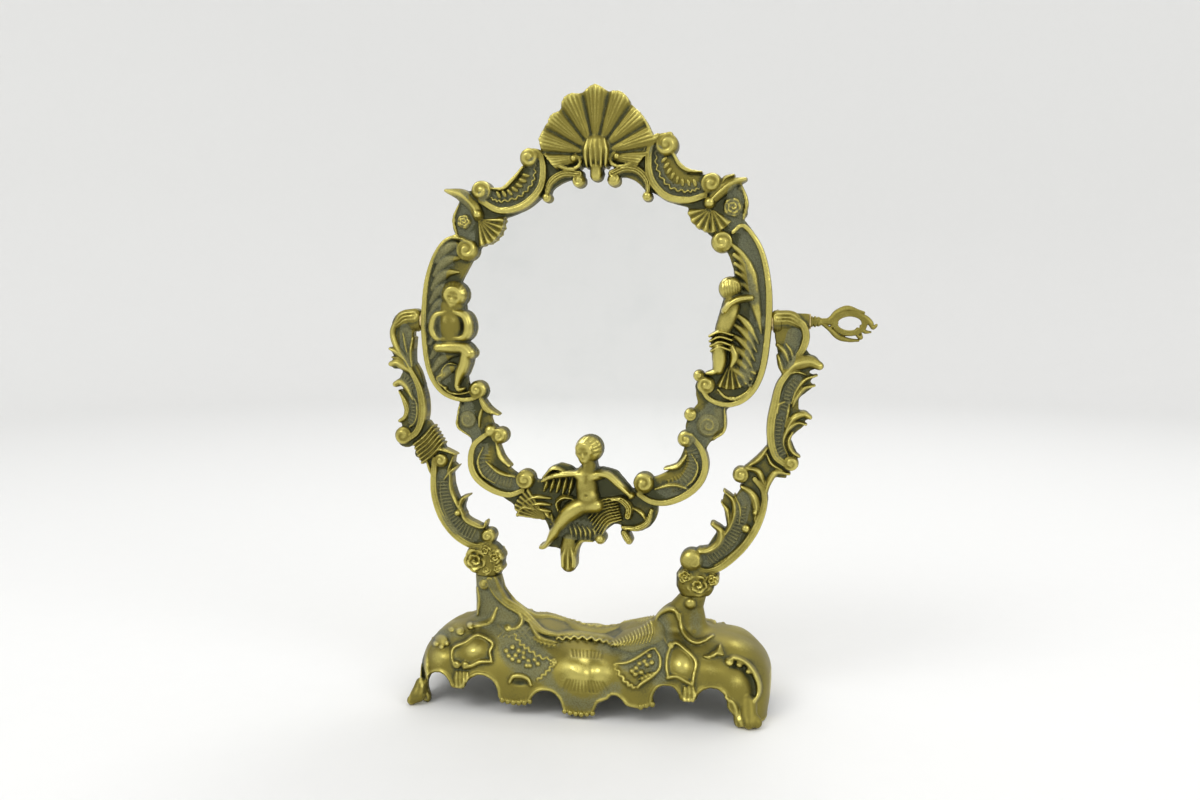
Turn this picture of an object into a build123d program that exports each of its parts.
from build123d import *
import math
import os

# A vanity mirror: a cast brass frame that tilts between two scrolled arms on a hollow base.
# Millimetres, X to the right seen from the front, Y to the back, Z up, table at Z = 0.
# The shapes are drawn with the middle of the base at X = 0. The key sticks out on the right,
# so every part is moved by SHIFT_X at the end to stand the whole mirror over the origin.

# Places shared by several parts
PIVOT_Z = 238.0
LEFT_EDGE_X = -110.8
RIGHT_EDGE_X = 107.2
LEFT_COLLAR_X = -112.2
RIGHT_COLLAR_X = 108.6
LEFT_SEAM_Z = 75.0
RIGHT_SEAM_Z = 68.0
LEFT_NECK_X = -70.0
RIGHT_NECK_X = 62.0

# Depths of the frame, from the front relief to the back face
FRAME_BACK_Y = 5.0
FRAME_GROUND_Y = -3.5
RELIEF_FOOT_Y = -0.4
RIM_Y = -6.5
SCROLL_Y = -8.0
FIGURE_Y = -11.0
KNOB_SIDES = 8
FACET_DEPTH = 0.25
SCROLL_FACET = 9.0
SCROLL_FEWEST_FACETS = 4
CROWN_SHARE = 0.5
TIP_SHARE = 0.06

# Glass pack behind the frame
GLASS_THICKNESS = 3.0
CARD_THICKNESS = 2.0
PLATE_THICKNESS = 0.8
PLATE_LAP = 5.6
GLASS_GAP = 0.5
SCREW_COUNT = 6
SCREW_LINE = 3.0
SCREW_RADIUS = 1.4
SCREW_HEAD_RADIUS = 2.6
SCREW_HEAD_HEIGHT = 1.4
SCREW_LENGTH = 3.6
SCREW_HOLE_EXTRA = 0.3

# Arms
ARM_HALF_DEPTH = 4.5
ARM_RELIEF_Y = 6.5
COLLAR_RADIUS = 7.3
FOOT_HALF_DEPTH = 8.0
POST_SIDES = 12
COLLAR_SIDES = 16
LEFT_COLLAR_LENGTH = 7.5
RIGHT_COLLAR_LENGTH = 5.0
ARM_BORE_WALL_RADIUS = 5.5
LEFT_BORE_WALL_LENGTH = 13.0

# Pivot pin, key and washers
PIVOT_BOSS_RADIUS = 5.6
PIVOT_BOSS_REACH = 9.0
PIN_RADIUS = 2.25
PIN_FRAME_LENGTH = 12.0
PIN_ARM_LENGTH = 8.0
SHANK_RADIUS = 2.5
SHANK_FRAME_LENGTH = 11.0
RUNNING_GAP = 0.08
SHANK_ARM_GAP = 0.4
WASHER_RADIUS = 5.6
WASHER_PLAY = 0.1
KEY_FACE_X = 129.8
KEY_SHOULDER_RADIUS = 3.4
KEY_WASHER_RADIUS = 4.7
KEY_WASHER_THICKNESS = 0.8
KEY_HALF_DEPTH = 2.0
BOLT_RADIUS = 2.5
BOLT_HEAD_RADIUS = 4.6
BOLT_HEAD_HEIGHT = 3.4
BOLT_WASHER_RADIUS = 7.0
BOLT_WASHER_THICKNESS = 1.2
BOLT_CLEARANCE = 0.3
BOLT_ENTRY = 12.0

# Base casting
BASE_WALL = 3.6
BOLT_SEAT_Z = 33.0
BOLT_SEAT_RADIUS = 8.5
BOLT_SEAT_HEIGHT = 14.0
BOSS_PLACE = (2.0, 27.0)
BOSS_FRONT_Y = 49.0
BOSS_FOOT_Y = 37.0
BOSS_STEPS = [(0, 19), (0.6, 16), (1, 7)]
PAD_SINK = 3.0
PAD_CROWN_SHARE = 0.72

# Middle of the whole mirror, measured from the middle of the base
LEFT_REACH = -134.3
RIGHT_REACH = 169.5
SHIFT_X = -(LEFT_REACH + RIGHT_REACH) / 2


def front_plane(y):
    """The upright drawing plane at depth y as seen from the front: x to the right, z up."""
    return Plane(origin=(0, y, 0), x_dir=(1, 0, 0), z_dir=(0, -1, 0))


def arc_points(start, middle, end):
    """Points along an arc, close enough that its flat facets leave it by FACET_DEPTH at most."""
    arc = ThreePointArc(start, middle, end)
    widest = 2 * math.acos(1 - FACET_DEPTH / arc.radius)
    facets = math.ceil(arc.length / arc.radius / widest)
    return [arc @ (number / facets) for number in range(facets)]


def drawn(*runs):
    """A face inside runs that follow each other: one point starts a line, two start an arc."""
    points = []
    for index, run in enumerate(runs):
        end = runs[(index + 1) % len(runs)][0]
        points += [Vector(*run[0])] if len(run) == 1 else arc_points(*run, end)
    return Face(Wire(Polyline(*points, close=True)))


def slab(face, front_y, back_y):
    """A drawn face made solid between two depths."""
    return extrude(front_plane(back_y) * face, back_y - front_y, dir=(0, -1, 0))


def flat_loft(rings):
    """A closed solid through rings of points, its sides in flat triangles."""
    faces = [Face(Wire(Polyline(*ring, close=True))) for ring in (rings[0], rings[-1])]
    for ring, above in zip(rings, rings[1:]):
        for number in range(len(ring)):
            after = (number + 1) % len(ring)
            faces.append(Face(Wire(Polyline(ring[number], ring[after], above[after], close=True))))
            faces.append(Face(Wire(Polyline(ring[number], above[after], above[number], close=True))))
    return Solid(Shell(faces))


def crescent(start, middle, end, width, tip_share=0.0):
    """Points round a bent leaf that swells to its width halfway between its two tips."""
    start, middle, end = Vector(*start), Vector(*middle), Vector(*end)
    bend = middle * 2 - (start + end) * 0.5
    facets = max(SCROLL_FEWEST_FACETS, round((end - start).length / SCROLL_FACET))
    upper = []
    lower = []
    for number in range(facets + 1):
        share = number / facets
        along = tip_share + (1 - 2 * tip_share) * share
        spine = start * (1 - along) ** 2 + bend * (2 * along * (1 - along)) + end * along**2
        heading = (bend - start) * (1 - along) + (end - bend) * along
        across = Vector(-heading.Y, heading.X).normalized() * (width / 2 * math.sin(math.pi * share))
        upper.append(spine + across)
        lower.append(spine - across)
    return upper + lower[-2:0:-1]


def flat_crescent(start, middle, end, width):
    """A bent leaf as a face."""
    return Face(Wire(Polyline(*crescent(start, middle, end, width), close=True)))


def ridge(start, middle, end, width, front_y, foot_y=RELIEF_FOOT_Y):
    """A raised scroll or leaf whose sides lean in towards the front."""
    foot = [(point.X, foot_y, point.Y) for point in crescent(start, middle, end, width)]
    crown_width = width * CROWN_SHARE
    crown = [(point.X, front_y, point.Y) for point in crescent(start, middle, end, crown_width, TIP_SHARE)]
    return flat_loft([foot, crown])


def rib(start, end, start_width, end_width, start_y, end_y, foot_y=RELIEF_FOOT_Y):
    """A straight tapered bar with leaning sides: a flute of a shell, or an arm or a leg."""
    along = Vector(end[0] - start[0], end[1] - start[1])
    across = Vector(-along.Y, along.X).normalized()
    rings = []
    for point, width, crown_y in ((start, start_width, start_y), (end, end_width, end_y)):
        ring = []
        for side, y in ((-1, foot_y), (-CROWN_SHARE, crown_y), (CROWN_SHARE, crown_y), (1, foot_y)):
            place = Vector(*point) + across * (side * width / 2)
            ring.append((place.X, y, place.Y))
        rings.append(ring)
    return flat_loft(rings)


def turned(steps, origin, direction):
    """A solid turned about a line, from (distance along, radius) steps."""
    points = [(0, steps[0][0])] + [(radius, along) for along, radius in steps] + [(0, steps[-1][0])]
    profile = Face(Wire(Polyline(*points, close=True)))
    return Plane(origin=origin, z_dir=direction) * revolve(Plane.XZ * profile, Axis.Z)


def rod(origin, direction, radius, length):
    """A plain round bar or cutter that starts at origin."""
    return turned([(0, radius), (length, radius)], origin, direction)


def bar(origin, direction, radius, length, sides=12):
    """A bar or cutter in flat facets, for pieces that need no round fit."""
    return Plane(origin=origin, z_dir=direction) * extrude(RegularPolygon(radius, sides), length)


def stepped_knob(x, z, front_y, foot_y, steps):
    """A raised knob in flat facets, from (share of height, radius) steps."""
    wires = []
    for share, radius in steps:
        plane = front_plane(foot_y + (front_y - foot_y) * share)
        wires.append((plane * Pos(x, z) * RegularPolygon(radius, KNOB_SIDES)).wire())
    return Solid.make_loft(wires, ruled=True)


def button(x, z, radius, front_y, foot_y=RELIEF_FOOT_Y):
    """A small knob with a leaning side."""
    return stepped_knob(x, z, front_y, foot_y, [(0, radius), (1, radius * 0.6)])


def knob(x, z, radius, front_y, foot_y=RELIEF_FOOT_Y):
    """A large rounded knob, such as the curl of a scroll or a head."""
    return stepped_knob(x, z, front_y, foot_y, [(0, radius), (0.6, radius * 0.88), (1, radius * 0.4)])


# Outline of the frame plate, clockwise from the left foot of the crest
FRAME_CREST = [
    [(-33, 340), (-34, 349)],
    [(-31, 357), (-26, 360.5)],
    [(-21, 367), (-15, 375.5)],
    [(-7, 373.5), (0.5, 380)],
    [(7, 375.5), (16, 376)],
    [(23, 367), (28.5, 362.5)],
    [(33, 356), (36, 351)],
]
FRAME_RIGHT = [
    [(37, 345)],
    [(45, 344), (48, 332.5)],
    [(58, 327)],
    [(74, 325.5), (80.5, 321)],
    [(87, 314.5), (93.3, 307)],
    [(90.5, 299.5), (103, 280)],
    [(107.2, 247)],
    [(107.0, 229), (104.5, 210)],
    [(98, 196), (92, 188.5)],
    [(82.5, 185), (79.8, 177)],
    [(79, 168), (71.5, 163)],
    [(70, 152), (63, 134.5)],
]
FRAME_FOOT = [
    [(40, 124.5), (37, 111.5)],
    [(20, 107), (11.5, 110.5)],
    [(6.5, 99)],
    [(1.5, 99), (-7.5, 98.5)],
    [(-11, 90)],
    [(-13.5, 80), (-17.5, 78.8)],
    [(-21.5, 80), (-22.8, 87)],
    [(-22.5, 93.5)],
    [(-30, 94.5), (-30, 106)],
    [(-35, 115.5)],
    [(-46, 117.5)],
    [(-49.5, 114)],
    [(-53, 121), (-64, 128)],
]
FRAME_LEFT = [
    [(-76, 135.5), (-80.5, 149)],
    [(-80, 162)],
    [(-88.5, 171)],
    [(-89, 183.5)],
    [(-84, 186.5), (-95, 188.3)],
    [(-103, 195), (-108.8, 208)],
    [(-110.8, 227)],
    [(-110.6, 249), (-107.5, 267)],
    [(-99, 284), (-95.5, 288.5)],
    [(-89, 291), (-91, 299.5)],
    [(-86.5, 309), (-83, 317)],
    [(-76, 319.5)],
    [(-60, 319), (-50, 324)],
    [(-44, 334)],
    [(-38, 342)],
]

# Edge of the opening in the frame plate, clockwise from the middle of the top
WINDOW = [
    [(6, 331), (24, 328)],
    [(33, 317), (44, 310)],
    [(57, 306), (66, 293)],
    [(78, 283), (85, 262)],
    [(78.5, 238), (73.5, 224)],
    [(74, 210), (64.5, 203)],
    [(63.5, 188), (57.5, 180)],
    [(56, 168), (50, 150)],
    [(31, 141)],
    [(24, 133), (0, 144)],
    [(-36, 138)],
    [(-50, 141.5), (-60, 152)],
    [(-63, 167)],
    [(-70, 188), (-79.5, 195)],
    [(-81, 208), (-83, 234)],
    [(-85, 262), (-73, 282)],
    [(-58, 300.5), (-44, 305.5)],
    [(-32, 314), (-22, 326.5)],
    [(-6, 331)],
]

# Edge of the rebate that takes the glass, hidden behind the frame
REBATE = [
    [(20, 334.5), (50, 317)],
    [(76, 292), (89, 268)],
    [(86, 244), (78.5, 222)],
    [(77, 206), (66, 190)],
    [(60, 172), (55, 149)],
    [(36, 136), (0, 130.5)],
    [(-38, 133.5), (-60, 144)],
    [(-67.5, 166), (-74, 188)],
    [(-85, 202), (-91, 234)],
    [(-89, 264), (-76, 291)],
    [(-56, 307), (-36, 318)],
    [(-20, 334.5)],
]

# The crest shell: root of the ribs, and each rib's angle from straight up and its reach
SHELL_ROOT = (1.0, 338.0)
SHELL_RIBS = [
    (-98, 30.5), (-74, 33.5), (-51, 35.5), (-27, 38.5), (0, 41), (26, 38.5), (49, 36.5), (72, 34.5), (97, 29),
]


def frame_plate():
    """The flat cast ring behind all the relief."""
    ring = drawn(*FRAME_CREST, *FRAME_RIGHT, *FRAME_FOOT, *FRAME_LEFT)
    return slab(ring, FRAME_GROUND_Y, FRAME_BACK_Y) - slab(drawn(*WINDOW), FRAME_GROUND_Y - 1, FRAME_BACK_Y + 1)


def crest_shell():
    """Ribs of the scallop shell on the crest, its rolled hinge and the drop below it."""
    root_x, root_z = SHELL_ROOT
    pieces = []
    for degrees, reach in SHELL_RIBS:
        side = math.sin(math.radians(degrees))
        up = math.cos(math.radians(degrees))
        start = (root_x + 7 * side, root_z + 7 * up)
        end = (root_x + reach * side, root_z + reach * up)
        pieces.append(rib(start, end, 3.0, 0.27 * reach, SCROLL_Y, RIM_Y))
    pieces.append(knob(root_x, root_z + 1, 8.5, -10.5))
    pieces.append(button(root_x - 12.5, root_z - 2.5, 3.8, SCROLL_Y))
    pieces.append(button(root_x + 11.5, root_z - 2, 3.8, SCROLL_Y))
    pieces.append(button(root_x + 1, root_z - 10.5, 4.6, -6.0))
    return pieces


def crest_scrolls():
    """The two small scrolls that hang over the glass under the shell."""
    return [
        ridge((-8, 324), (-22, 324.5), (-30, 313), 6.5, RIM_Y),
        button(-8.5, 323, 3.8, SCROLL_Y),
        button(-29.5, 313.2, 3.2, SCROLL_Y),
        ridge((11, 325), (25.5, 325.5), (32.5, 313), 6.5, RIM_Y),
        button(12, 323, 3.8, SCROLL_Y),
        button(32.5, 313.2, 3.4, SCROLL_Y),
    ]


def fan(root, first_degrees, count, reach):
    """A small fan of flutes that open from a root, 21 degrees apart."""
    pieces = []
    for step in range(count):
        angle = math.radians(first_degrees + 21 * step)
        end = (root[0] + reach * math.cos(angle), root[1] + reach * math.sin(angle))
        pieces.append(rib(root, end, 1.8, 0.36 * reach, RIM_Y, -5.0))
    return pieces


def shoulders():
    """The C-scrolls at both sides of the crest, their curls, horns and small fans."""
    scrolls = [
        ridge((-39, 342), (-38, 317), (-70, 312), 9.0, RIM_Y),
        ridge((41, 348), (40, 319), (70, 316), 9.0, RIM_Y),
        button(-40, 338, 6.3, SCROLL_Y),
        button(-70.5, 317.5, 6.8, SCROLL_Y),
        button(44, 343.5, 7.0, SCROLL_Y),
        button(70, 320.5, 6.8, SCROLL_Y),
        ridge((-94.4, 318.8), (-84, 314.5), (-73, 301), 6.5, -7.0, 2.0),
        ridge((91.4, 322.4), (81, 319), (69, 307), 6.5, -7.0, 2.0),
    ]
    return scrolls + fan((-73, 300), -55, 3, 16.5) + fan((71, 306), 186, 4, 14.5)


def side_rims():
    """The long smooth rims at both sides of the frame and their curls."""
    return [
        ridge((-84, 287), (-106.8, 238), (-80, 189.5), 7.0, RIM_Y),
        ridge((82, 295), (103.6, 242), (70, 190), 7.0, RIM_Y),
        button(-80.5, 281.5, 6.6, SCROLL_Y),
        button(-73.5, 193, 6.0, SCROLL_Y),
        button(78, 285.5, 6.4, SCROLL_Y),
        button(67.5, 198.5, 6.2, -7.0),
    ]


def side_figures():
    """The seated child on the left and the child with a raised arm on the right."""
    return [
        knob(-89, 253.5, 8.2, FIGURE_Y),
        knob(-91, 233.5, 9.8, SCROLL_Y),
        rib((-100, 218.5), (-80, 218.5), 9.0, 8.0, -7.0, -9.5),
        rib((-81.5, 222), (-86, 203), 8.0, 5.0, -9.5, -6.0),
        knob(83, 258, 7.0, FIGURE_Y),
        rib((98, 254), (84, 250), 4.5, 7.0, -6.5, SCROLL_Y),
        rib((83, 252), (78, 231), 9.0, 11.0, SCROLL_Y, -9.5),
        rib((78, 231), (76.5, 222), 13.0, 11.0, -9.5, SCROLL_Y),
        rib((77, 224), (77.5, 210), 9.5, 7.0, SCROLL_Y, -6.5),
    ]


def lower_scrolls():
    """Rosettes, knots and the C-scrolls that lead down to the foot of the frame."""
    return [
        ridge((-72, 164), (-73.5, 139), (-47, 134), 8.0, RIM_Y),
        ridge((61, 166), (62, 139), (32, 133), 8.5, RIM_Y),
        button(-82, 175.5, 6.0, -6.0),
        button(71, 174.5, 7.5, -6.0),
        button(-65, 166.5, 5.8, SCROLL_Y),
        button(57, 166, 5.2, SCROLL_Y),
        button(-44, 138.5, 6.2, SCROLL_Y),
        button(31, 137.5, 6.2, SCROLL_Y),
        ridge((-73, 190), (-70, 182), (-62, 178), 5.0, -6.0),
    ]


def foot_figure():
    """The reclining child at the foot of the frame, its drapery, rock and pendants."""
    return [
        knob(-3.5, 157.8, 9.2, FIGURE_Y - 1),
        rib((-3.5, 152), (-4.5, 143), 6.5, 8.0, SCROLL_Y, SCROLL_Y),
        knob(-4.5, 138, 9.5, FIGURE_Y),
        rib((2, 144), (12, 142), 8.0, 7.5, -9.5, -10.0),
        rib((11, 143.5), (23, 131.5), 7.0, 4.5, -10.0, SCROLL_Y),
        ridge((-8, 141), (-22, 145.5), (-34, 139), 8.0, SCROLL_Y),
        knob(-3.5, 127, 8.0, -10.0),
        rib((-1, 124), (-20, 115.5), 10.0, 8.0, FIGURE_Y, -10.0),
        rib((-18, 118), (-28, 100), 8.0, 4.6, -10.0, RIM_Y),
        ridge((-25, 105), (-28, 98), (-34, 94), 4.6, RIM_Y, 2.0),
        ridge((4, 118), (16, 127.5), (23, 116), 6.0, SCROLL_Y),
        ridge((18, 108.5), (30, 110.5), (35.5, 121), 5.0, RIM_Y),
        ridge((3, 99.5), (7, 109), (18, 113.5), 4.6, RIM_Y),
        ridge((-19, 81), (-16.5, 89), (-12, 98), 6.0, -6.0),
        rib((19.5, 109), (22.5, 99.5), 3.4, 5.0, -4.5, -4.5, 3.0),
    ]


def pivot_bosses():
    """Round bosses in both edges of the frame that take the pin and the key."""
    return [
        bar((LEFT_EDGE_X, 0, PIVOT_Z), (1, 0, 0), PIVOT_BOSS_RADIUS, PIVOT_BOSS_REACH),
        bar((RIGHT_EDGE_X, 0, PIVOT_Z), (-1, 0, 0), PIVOT_BOSS_RADIUS, PIVOT_BOSS_REACH),
    ]


def rebate_face(spread):
    """The outline of the rebate, made wider or, with a negative spread, narrower."""
    return offset(drawn(*REBATE), spread, kind=Kind.INTERSECTION).face()


def screw_places():
    """Centres of the back screws, evenly along a line just outside the rebate."""
    line = rebate_face(SCREW_LINE).outer_wire()
    return [line @ (number / SCREW_COUNT) for number in range(SCREW_COUNT)]


def mirror_frame():
    """The whole frame casting with its rebate, screw holes and pivot bores."""
    relief = crest_shell() + crest_scrolls() + shoulders() + side_rims()
    relief += side_figures() + lower_scrolls() + foot_figure() + pivot_bosses()
    body = frame_plate() + relief
    cutters = [slab(drawn(*REBATE), 0, FRAME_BACK_Y + 1)]
    for place in screw_places():
        cutters.append(bar((place.X, FRAME_BACK_Y, place.Y), (0, -1, 0), SCREW_RADIUS, SCREW_LENGTH, 8))
    cutters.append(rod((LEFT_EDGE_X, 0, PIVOT_Z), (1, 0, 0), PIN_RADIUS, PIN_FRAME_LENGTH))
    shank_bore = SHANK_RADIUS + RUNNING_GAP
    cutters.append(rod((RIGHT_EDGE_X, 0, PIVOT_Z), (-1, 0, 0), shank_bore, SHANK_FRAME_LENGTH + 1))
    return body - cutters


def mirror_glass():
    """The flat mirror glass, cut to the outline of the rebate."""
    return slab(rebate_face(-GLASS_GAP), 0, GLASS_THICKNESS)


def backing_card():
    """The card between the glass and the back plate."""
    return slab(rebate_face(-GLASS_GAP), GLASS_THICKNESS, GLASS_THICKNESS + CARD_THICKNESS)


def back_plate():
    """The thin sheet that closes the back of the frame."""
    sheet = slab(rebate_face(PLATE_LAP), FRAME_BACK_Y, FRAME_BACK_Y + PLATE_THICKNESS)
    radius = SCREW_RADIUS + SCREW_HOLE_EXTRA
    top_y = FRAME_BACK_Y + PLATE_THICKNESS
    return sheet - [
        bar((place.X, top_y, place.Y), (0, -1, 0), radius, PLATE_THICKNESS, 8) for place in screw_places()
    ]


def back_screws():
    """The equal screws that hold the back plate, as separate solids."""
    top_y = FRAME_BACK_Y + PLATE_THICKNESS
    screws = []
    for place in screw_places():
        start = (place.X, top_y, place.Y)
        shaft = bar(start, (0, -1, 0), SCREW_RADIUS, SCREW_LENGTH + PLATE_THICKNESS, 8)
        screws.append(shaft + bar(start, (0, 1, 0), SCREW_HEAD_RADIUS, SCREW_HEAD_HEIGHT, 8))
    return Part() + screws


# Outline of the left arm, from the top of its collar down the outer side and back up
LEFT_ARM = [
    [(-117, 245), (-129, 242)],
    [(-132, 230)],
    [(-129.5, 222.5)],
    [(-134.3, 220.5)],
    [(-131, 215)],
    [(-134.3, 209.8)],
    [(-131.5, 206.6)],
    [(-125, 206)],
    [(-129.8, 197)],
    [(-125, 194.5)],
    [(-127, 190.5), (-122.5, 183)],
    [(-127, 174)],
    [(-126.5, 169.5), (-130.5, 162)],
    [(-117.5, 158.3)],
    [(-118.3, 150.5)],
    [(-110.5, 146.5)],
    [(-106.5, 138.5)],
    [(-107, 124.5), (-98.8, 105.5)],
    [(-82, 92.8)],
    [(-74, 91), (-64.5, 96)],
    [(-65.5, 106)],
    [(-71, 104.8)],
    [(-70.3, 110)],
    [(-75, 108), (-82.5, 112)],
    [(-84.8, 119)],
    [(-81.5, 126.8)],
    [(-87.5, 124), (-92.3, 133)],
    [(-88.3, 145.7)],
    [(-92, 148.5)],
    [(-89.3, 152.5)],
    [(-95.5, 154)],
    [(-100.3, 165)],
    [(-108, 175.5)],
    [(-110, 174.5), (-109.2, 187)],
    [(-116.2, 212)],
    [(-116.5, 229)],
]

# Outline of the right arm, drawn the same way
RIGHT_ARM = [
    [(112.5, 245), (125.5, 241.5)],
    [(129.5, 229)],
    [(128.5, 222.5)],
    [(131, 219), (137, 214.5)],
    [(136.5, 210)],
    [(130, 207.8)],
    [(135.3, 206.5)],
    [(131.5, 202)],
    [(134, 201)],
    [(133.5, 198.5)],
    [(125.3, 192)],
    [(125, 185), (131, 184)],
    [(131.8, 179)],
    [(128.8, 178.5)],
    [(129.3, 175.8)],
    [(120.5, 168)],
    [(125.5, 157)],
    [(124, 150)],
    [(118, 147.6)],
    [(119.5, 142)],
    [(112, 143.2)],
    [(108, 139), (103, 112.5)],
    [(76, 82.5)],
    [(62, 82.5), (53.5, 90)],
    [(61, 97.6)],
    [(70, 99)],
    [(75.5, 108)],
    [(73.5, 113.8)],
    [(82, 111.5)],
    [(79, 128)],
    [(80, 134.5)],
    [(86.5, 130.5)],
    [(91, 137.8)],
    [(92.5, 141.3)],
    [(86, 141)],
    [(86, 147.5)],
    [(97, 150.7)],
    [(105.5, 161.5), (105.6, 178)],
    [(110.5, 195), (112.4, 201)],
    [(115, 207)],
    [(112.5, 213)],
    [(110.2, 222.5)],
    [(109, 229)],
]


def arm_plate(outline):
    """The flat web of an arm."""
    return slab(drawn(*outline), -ARM_HALF_DEPTH, ARM_HALF_DEPTH)


def arm_scroll(start, middle, end, width):
    """A scroll band that stands out on both sides of an arm."""
    return slab(flat_crescent(start, middle, end, width), -ARM_RELIEF_Y, ARM_RELIEF_Y)


def arm_knobs(*places):
    """Knobs on both sides of an arm, from (x, z, radius)."""
    pieces = []
    for x, z, radius in places:
        pieces.append(button(x, z, radius, -FOOT_HALF_DEPTH, 0))
        pieces.append(button(x, z, radius, FOOT_HALF_DEPTH, 0))
    return pieces


def post(levels):
    """An upright post lofted through (z, x, half width, half depth) ovals of flat facets."""
    rings = []
    for z, x, half_width, half_depth in levels:
        ring = []
        for number in range(POST_SIDES):
            turn = 2 * math.pi * (number + 0.5) / POST_SIDES
            ring.append((x + half_width * math.cos(turn), half_depth * math.sin(turn), z))
        rings.append(ring)
    return flat_loft(rings)


def arm_foot(x, seam_z):
    """The round foot of an arm that stands on the neck of the base."""
    return post([
        (seam_z, x, 8.2, 7.6),
        (seam_z + 6, x, 11.0, FOOT_HALF_DEPTH),
        (seam_z + 13, x, 11.0, FOOT_HALF_DEPTH),
        (seam_z + 19, x, 7.0, 5.5),
    ])


def bolt_hole(x, seam_z):
    """The blind hole for the bolt, up into the foot of an arm."""
    return rod((x, 0, seam_z), (0, 0, 1), BOLT_RADIUS, BOLT_ENTRY + 1)


def left_arm():
    """The left arm with its collar and the blind bore for the plain pin."""
    body = arm_plate(LEFT_ARM) + [
        arm_scroll((-117, 241), (-129.2, 231), (-121, 211), 5.0),
        arm_scroll((-117, 214), (-112.6, 188), (-126, 163), 5.8),
        arm_scroll((-98, 151), (-102.4, 121), (-68, 98), 6.4),
        *arm_knobs((-124.5, 164.5, 5.6), (-69, 100.5, 4.8), (-77.5, 84, 8.2), (-64, 85.5, 6.2)),
        arm_foot(LEFT_NECK_X, LEFT_SEAM_Z),
        bar((LEFT_COLLAR_X, 0, PIVOT_Z), (-1, 0, 0), COLLAR_RADIUS, LEFT_COLLAR_LENGTH, COLLAR_SIDES),
        bar((LEFT_COLLAR_X, 0, PIVOT_Z), (-1, 0, 0), ARM_BORE_WALL_RADIUS, LEFT_BORE_WALL_LENGTH),
    ]
    pin_bore = rod((LEFT_COLLAR_X, 0, PIVOT_Z), (-1, 0, 0), PIN_RADIUS + RUNNING_GAP, PIN_ARM_LENGTH + 1)
    return body - [pin_bore, bolt_hole(LEFT_NECK_X, LEFT_SEAM_Z)]


def right_arm():
    """The right arm with its ringed collar and the through bore for the key."""
    bore_length = KEY_FACE_X - RIGHT_COLLAR_X
    body = arm_plate(RIGHT_ARM) + [
        arm_scroll((113, 241), (126.8, 231), (118, 211), 5.0),
        arm_scroll((136.4, 211.5), (125, 213), (112, 201), 5.6),
        arm_scroll((118.5, 210), (112, 178), (119.5, 151), 5.6),
        arm_scroll((98, 148), (102.6, 122), (68, 86), 6.4),
        *arm_knobs((120, 152, 5.0), (91, 144.5, 5.0), (61, 90, 7.2), (65, 76.8, 8.0)),
        arm_foot(RIGHT_NECK_X, RIGHT_SEAM_Z),
        bar((RIGHT_COLLAR_X, 0, PIVOT_Z), (1, 0, 0), COLLAR_RADIUS, RIGHT_COLLAR_LENGTH, COLLAR_SIDES),
        bar((RIGHT_COLLAR_X, 0, PIVOT_Z), (1, 0, 0), ARM_BORE_WALL_RADIUS, bore_length),
    ]
    key_bore = rod((RIGHT_COLLAR_X, 0, PIVOT_Z), (1, 0, 0), SHANK_RADIUS + SHANK_ARM_GAP, bore_length)
    return body - [key_bore, bolt_hole(RIGHT_NECK_X, RIGHT_SEAM_Z)]


def pivot_pin():
    """The plain steel pin, pressed into the frame and running in the left arm."""
    start = (LEFT_EDGE_X + PIN_FRAME_LENGTH, 0, PIVOT_Z)
    length = PIN_FRAME_LENGTH + (LEFT_EDGE_X - LEFT_COLLAR_X) + PIN_ARM_LENGTH
    return rod(start, (-1, 0, 0), PIN_RADIUS, length)


def friction_washer(edge_x, collar_x, inner_radius):
    """A thin washer between the frame and a collar, seated on the frame."""
    side = 1 if collar_x > edge_x else -1
    thickness = abs(collar_x - edge_x) - WASHER_PLAY
    disc = bar((edge_x, 0, PIVOT_Z), (side, 0, 0), WASHER_RADIUS, thickness)
    return disc - rod((edge_x, 0, PIVOT_Z), (side, 0, 0), inner_radius, thickness)


def key_washer():
    """The washer under the shoulder of the key, seated on the key."""
    start = (KEY_FACE_X + WASHER_PLAY, 0, PIVOT_Z)
    disc = bar(start, (1, 0, 0), KEY_WASHER_RADIUS, KEY_WASHER_THICKNESS)
    return disc - rod(start, (1, 0, 0), SHANK_RADIUS, KEY_WASHER_THICKNESS)


def key_leaf(start, middle, end, width):
    """One flat leaf of the openwork bow."""
    return slab(flat_crescent(start, middle, end, width), -KEY_HALF_DEPTH, KEY_HALF_DEPTH)


def key_screw():
    """The ornamental key: threaded shank, ringed stem and leafy openwork bow."""
    shoulder_x = KEY_FACE_X + WASHER_PLAY + KEY_WASHER_THICKNESS
    shank_start = (RIGHT_EDGE_X - SHANK_FRAME_LENGTH, 0, PIVOT_Z)
    shank = rod(shank_start, (1, 0, 0), SHANK_RADIUS, shoulder_x - shank_start[0])
    stem = turned(
        [(0, KEY_SHOULDER_RADIUS), (2.0, KEY_SHOULDER_RADIUS), (3.2, 2.4), (12.0, 2.4)],
        (shoulder_x, 0, PIVOT_Z),
        (1, 0, 0),
    )
    ring = Pos(153.5, 237) * (Ellipse(10.5, 7.2) - Ellipse(6.6, 4.2))
    bow = slab(ring, -KEY_HALF_DEPTH, KEY_HALF_DEPTH)
    leaves = [
        key_leaf((140, 239), (151, 246.6), (161.8, 243), 3.6),
        key_leaf((159, 242.5), (164.5, 240), (169.5, 236), 4.2),
        key_leaf((140, 236), (149, 229), (159.5, 227), 3.6),
        key_leaf((157, 232.5), (162, 231.5), (166, 232.5), 3.2),
        key_leaf((143, 231), (146.5, 237), (143, 243), 5.0),
        key_leaf((157, 228), (161, 236), (160, 243), 4.0),
    ]
    return shank + [stem, bow] + leaves


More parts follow.
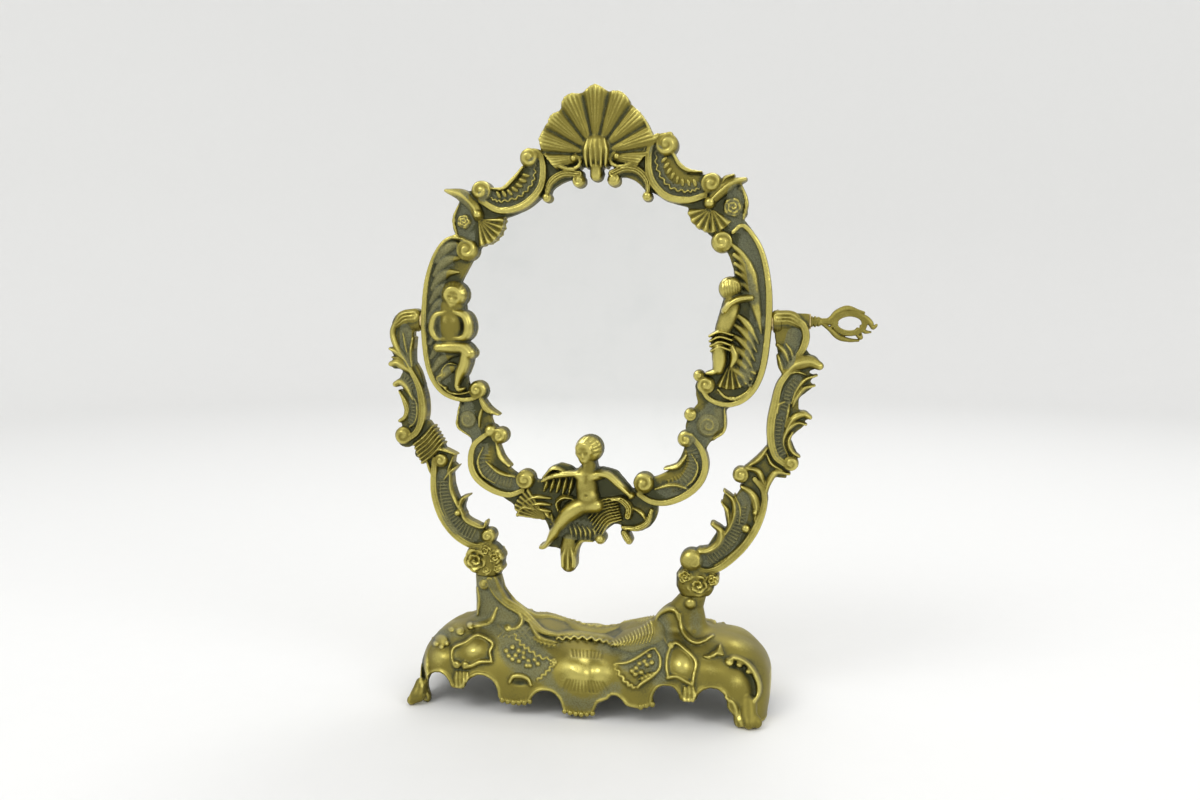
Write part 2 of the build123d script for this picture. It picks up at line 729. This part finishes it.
def arm_bolt(x, seam_z):
    """The machine screw that draws an arm down on the neck from inside the base."""
    under_z = BOLT_SEAT_Z - BOLT_WASHER_THICKNESS
    shaft = rod((x, 0, under_z), (0, 0, 1), BOLT_RADIUS, seam_z + BOLT_ENTRY - under_z)
    return shaft + bar((x, 0, under_z), (0, 0, -1), BOLT_HEAD_RADIUS, BOLT_HEAD_HEIGHT, 6)


def bolt_washer(x):
    """The washer between a bolt's head and the seat inside the base."""
    start = (x, 0, BOLT_SEAT_Z - BOLT_WASHER_THICKNESS)
    disc = bar(start, (0, 0, 1), BOLT_WASHER_RADIUS, BOLT_WASHER_THICKNESS)
    return disc - rod(start, (0, 0, 1), BOLT_RADIUS + BOLT_CLEARANCE, BOLT_WASHER_THICKNESS)


# Base casting: a long cushion with a dip in the middle, hollow, and cut away below in arches
BASE_HALF_LENGTH = 112.0
BASE_END_REACH = 6.0
BASE_HALF_DEPTH = 44.0
BASE_HEIGHT = 48.0
BASE_DIP = 9.5
BASE_DIP_REACH = 32.0
BASE_BANDS = 10
BASE_CROWN_FACETS = 7

# Lower edge of the apron seen from the front: one arc for every arch and lobe
LEFT_LEG_X = 11.0 - BASE_HALF_LENGTH
RIGHT_LEG_X = BASE_HALF_LENGTH - 22.0
APRON = [
    [(LEFT_LEG_X, -1)],
    [(LEFT_LEG_X, 10), ((LEFT_LEG_X - 83.5) / 2, 21)],
    [(-83.5, 13)],
    [(-75, 13), (-66, 22.4)],
    [(-53, 10)],
    [(-51, 8), (-42, 7)],
    [(-33, 8), (-22, 16.2)],
    [(-13.5, 7)],
    [(-12, 3.5), (-3, 2)],
    [(6, 3.5)],
    [(8, 9), (15.5, 16.3)],
    [(25, 10.5), (34, 9)],
    [(42.5, 12), (50, 23.5)],
    [(57.5, 15)],
    [(67, 15), ((RIGHT_LEG_X + 62) / 2, 23)],
    [(RIGHT_LEG_X - 5, 12)],
    [(RIGHT_LEG_X - 1, 7)],
    [(RIGHT_LEG_X, -1)],
]

# Raised pads on the crown: place, lean of the surface there in degrees, height and outline round the place
LEFT_SHIELD = (-70, -33.6, 37.0, 38, 2.4, [(-13, -6), (-12.5, 0), (-1, 9.5), (9.5, 4), (10, -9), (-4, -10)])
RIGHT_SHIELD = (58, -33.4, 36.5, 38, 2.4, [(-8, -9), (-8.5, 6), (-3, 10.5), (7.5, 4), (8, -10), (0, -7.5)])
CARTOUCHE = (32, -31.8, 34.5, 38, 1.8, [(-13, 0), (10, 10.5), (14, 4), (10, -6), (2, -10.5), (-8, -7)])
LEFT_CLASP = (-91.5, -24.6, 38.2, 50, 3.4, [(-5, -1), (-2.5, 4.5), (3.5, 4), (4.5, -2), (0, -5.5)])
RIGHT_CLASP = (77.5, -25.0, 42.6, 50, 2.2, [(-5.5, -3), (0, 5.5), (5.5, 4.5), (5, -4)])
HORN = (30, -9.0, 42.0, 66, 3.4, [(-14, -2.5), (-12, 4), (11, 6.5), (13, -6)])
PADS = [LEFT_SHIELD, RIGHT_SHIELD, CARTOUCHE, LEFT_CLASP, RIGHT_CLASP, HORN]
END_ARCH_HALF_WIDTH = 19.0
END_ARCH_TOP_Z = 21.0
END_ARCH_DEPTH = 16.0
LEFT_NECK = [(36, -60, 21, 12), (50, -61.5, 16, 10), (57, -66, 11.5, 8.6), (66, -69.5, 8.4, 7.6), (75, -70, 8.4, 8)]
RIGHT_NECK = [(36, 54, 21, 12), (50, 54, 16.5, 10), (60, 57.5, 11, 8.6), (68, 62, 8.4, 7.8)]
TOES = [(6.5 - BASE_HALF_LENGTH, 33.0), (BASE_HALF_LENGTH - 14.0, 36.0)]


def base_section(x, inset):
    """The arched cross-section of the cushion at x, drawn in by an inset, in flat facets."""
    fall = math.sqrt(1 - (abs(x) / (BASE_HALF_LENGTH + BASE_END_REACH)) ** 6)
    depth = BASE_HALF_DEPTH * fall - inset
    dip = BASE_DIP * math.exp(-((x / BASE_DIP_REACH) ** 2))
    height = (BASE_HEIGHT - dip) * fall - inset
    corners = [(x, depth * 0.96, -inset / 4), (x, depth, 0.25 * height), (x, depth * 0.95, 0.48 * height)]
    for number in range(1, BASE_CROWN_FACETS):
        turn = math.pi * number / BASE_CROWN_FACETS
        corners.append((x, 0.84 * depth * math.cos(turn), height * (0.62 + 0.38 * math.sin(turn))))
    corners += [(x, -depth * 0.95, 0.48 * height), (x, -depth, 0.25 * height), (x, -depth * 0.96, -inset / 4)]
    return corners


def cushion(inset):
    """The long cushion shape, lofted through sections that crowd towards the ends."""
    reach = BASE_HALF_LENGTH - inset
    stations = [-reach * math.cos(math.pi * band / BASE_BANDS) for band in range(BASE_BANDS + 1)]
    return flat_loft([base_section(x, inset) for x in stations])


def end_arches():
    """Cutters for the arch between the legs at each end."""
    profile = Plane.YZ * make_face(
        Line((-END_ARCH_HALF_WIDTH, -1), (END_ARCH_HALF_WIDTH, -1))
        + ThreePointArc((END_ARCH_HALF_WIDTH, -1), (0, END_ARCH_TOP_Z), (-END_ARCH_HALF_WIDTH, -1))
    )
    right = Pos(BASE_HALF_LENGTH - END_ARCH_DEPTH + 1, 0, 0) * extrude(profile, END_ARCH_DEPTH)
    left = Pos(-BASE_HALF_LENGTH - 1, 0, 0) * extrude(profile, END_ARCH_DEPTH)
    return [left, right]


def toe(x, y):
    """The scrolled toe of one leg, flat where it stands."""
    wires = []
    for z, radius in ((0, 5.6), (4, 6.6), (9, 4.2)):
        wires.append((Pos(x, y, z) * RegularPolygon(radius, KNOB_SIDES)).wire())
    return Solid.make_loft(wires, ruled=True)


def pad(x, y, z, lean, height, outline, side):
    """A raised pad that lies on the crown of the cushion, on its front or, with side -1, on its back."""
    up = math.radians(lean)
    plane = Plane(origin=(x, side * y, z), x_dir=(side, 0, 0), z_dir=(0, -side * math.cos(up), math.sin(up)))
    rings = []
    for level, share in ((-PAD_SINK, 1), (height, PAD_CROWN_SHARE)):
        corners = [plane.from_local_coords((side * across * share, along * share, level)) for across, along in outline]
        rings.append([(corner.X, corner.Y, corner.Z) for corner in corners])
    return flat_loft(rings)


def base_casting():
    """The hollow base with its arches, legs, bolt seats and the two necks."""
    body = Part() + cushion(0) - cushion(BASE_WALL)
    body -= [slab(drawn(*APRON), -BOSS_FRONT_Y, BOSS_FRONT_Y)] + end_arches()
    seats = []
    for x in (LEFT_NECK_X, RIGHT_NECK_X):
        seats.append(bar((x, 0, BOLT_SEAT_Z), (0, 0, 1), BOLT_SEAT_RADIUS, BOLT_SEAT_HEIGHT))
    toes = [toe(x, side * y) for x, y in TOES for side in (-1, 1)]
    bosses = [stepped_knob(*BOSS_PLACE, side * BOSS_FRONT_Y, side * BOSS_FOOT_Y, BOSS_STEPS) for side in (-1, 1)]
    pads = [pad(*place, side) for place in PADS for side in (-1, 1)]
    body = body + seats + toes + bosses + pads + [post(LEFT_NECK), post(RIGHT_NECK)]
    bolt_bore = BOLT_RADIUS + BOLT_CLEARANCE
    return body - [
        rod((LEFT_NECK_X, 0, 0), (0, 0, 1), bolt_bore, LEFT_SEAM_Z + 1),
        rod((RIGHT_NECK_X, 0, 0), (0, 0, 1), bolt_bore, RIGHT_SEAM_Z + 1),
    ]


PARTS = {
    "base_casting": base_casting,
    "left_arm": left_arm,
    "right_arm": right_arm,
    "left_arm_bolt": lambda: arm_bolt(LEFT_NECK_X, LEFT_SEAM_Z),
    "right_arm_bolt": lambda: arm_bolt(RIGHT_NECK_X, RIGHT_SEAM_Z),
    "left_bolt_washer": lambda: bolt_washer(LEFT_NECK_X),
    "right_bolt_washer": lambda: bolt_washer(RIGHT_NECK_X),
    "mirror_frame": mirror_frame,
    "mirror_glass": mirror_glass,
    "backing_card": backing_card,
    "back_plate": back_plate,
    "back_screws": back_screws,
    "pivot_pin": pivot_pin,
    "left_friction_washer": lambda: friction_washer(LEFT_EDGE_X, LEFT_COLLAR_X, PIN_RADIUS),
    "right_friction_washer": lambda: friction_washer(RIGHT_EDGE_X, RIGHT_COLLAR_X, SHANK_RADIUS + SHANK_ARM_GAP),
    "key_washer": key_washer,
    "key_screw": key_screw,
}


def main():
    """Build every part, move it over the origin and write its file."""
    os.makedirs("parts", exist_ok=True)
    for name, build in PARTS.items():
        export_step(Pos(SHIFT_X, 0, 0) * build(), f"parts/{name}.step")


main()
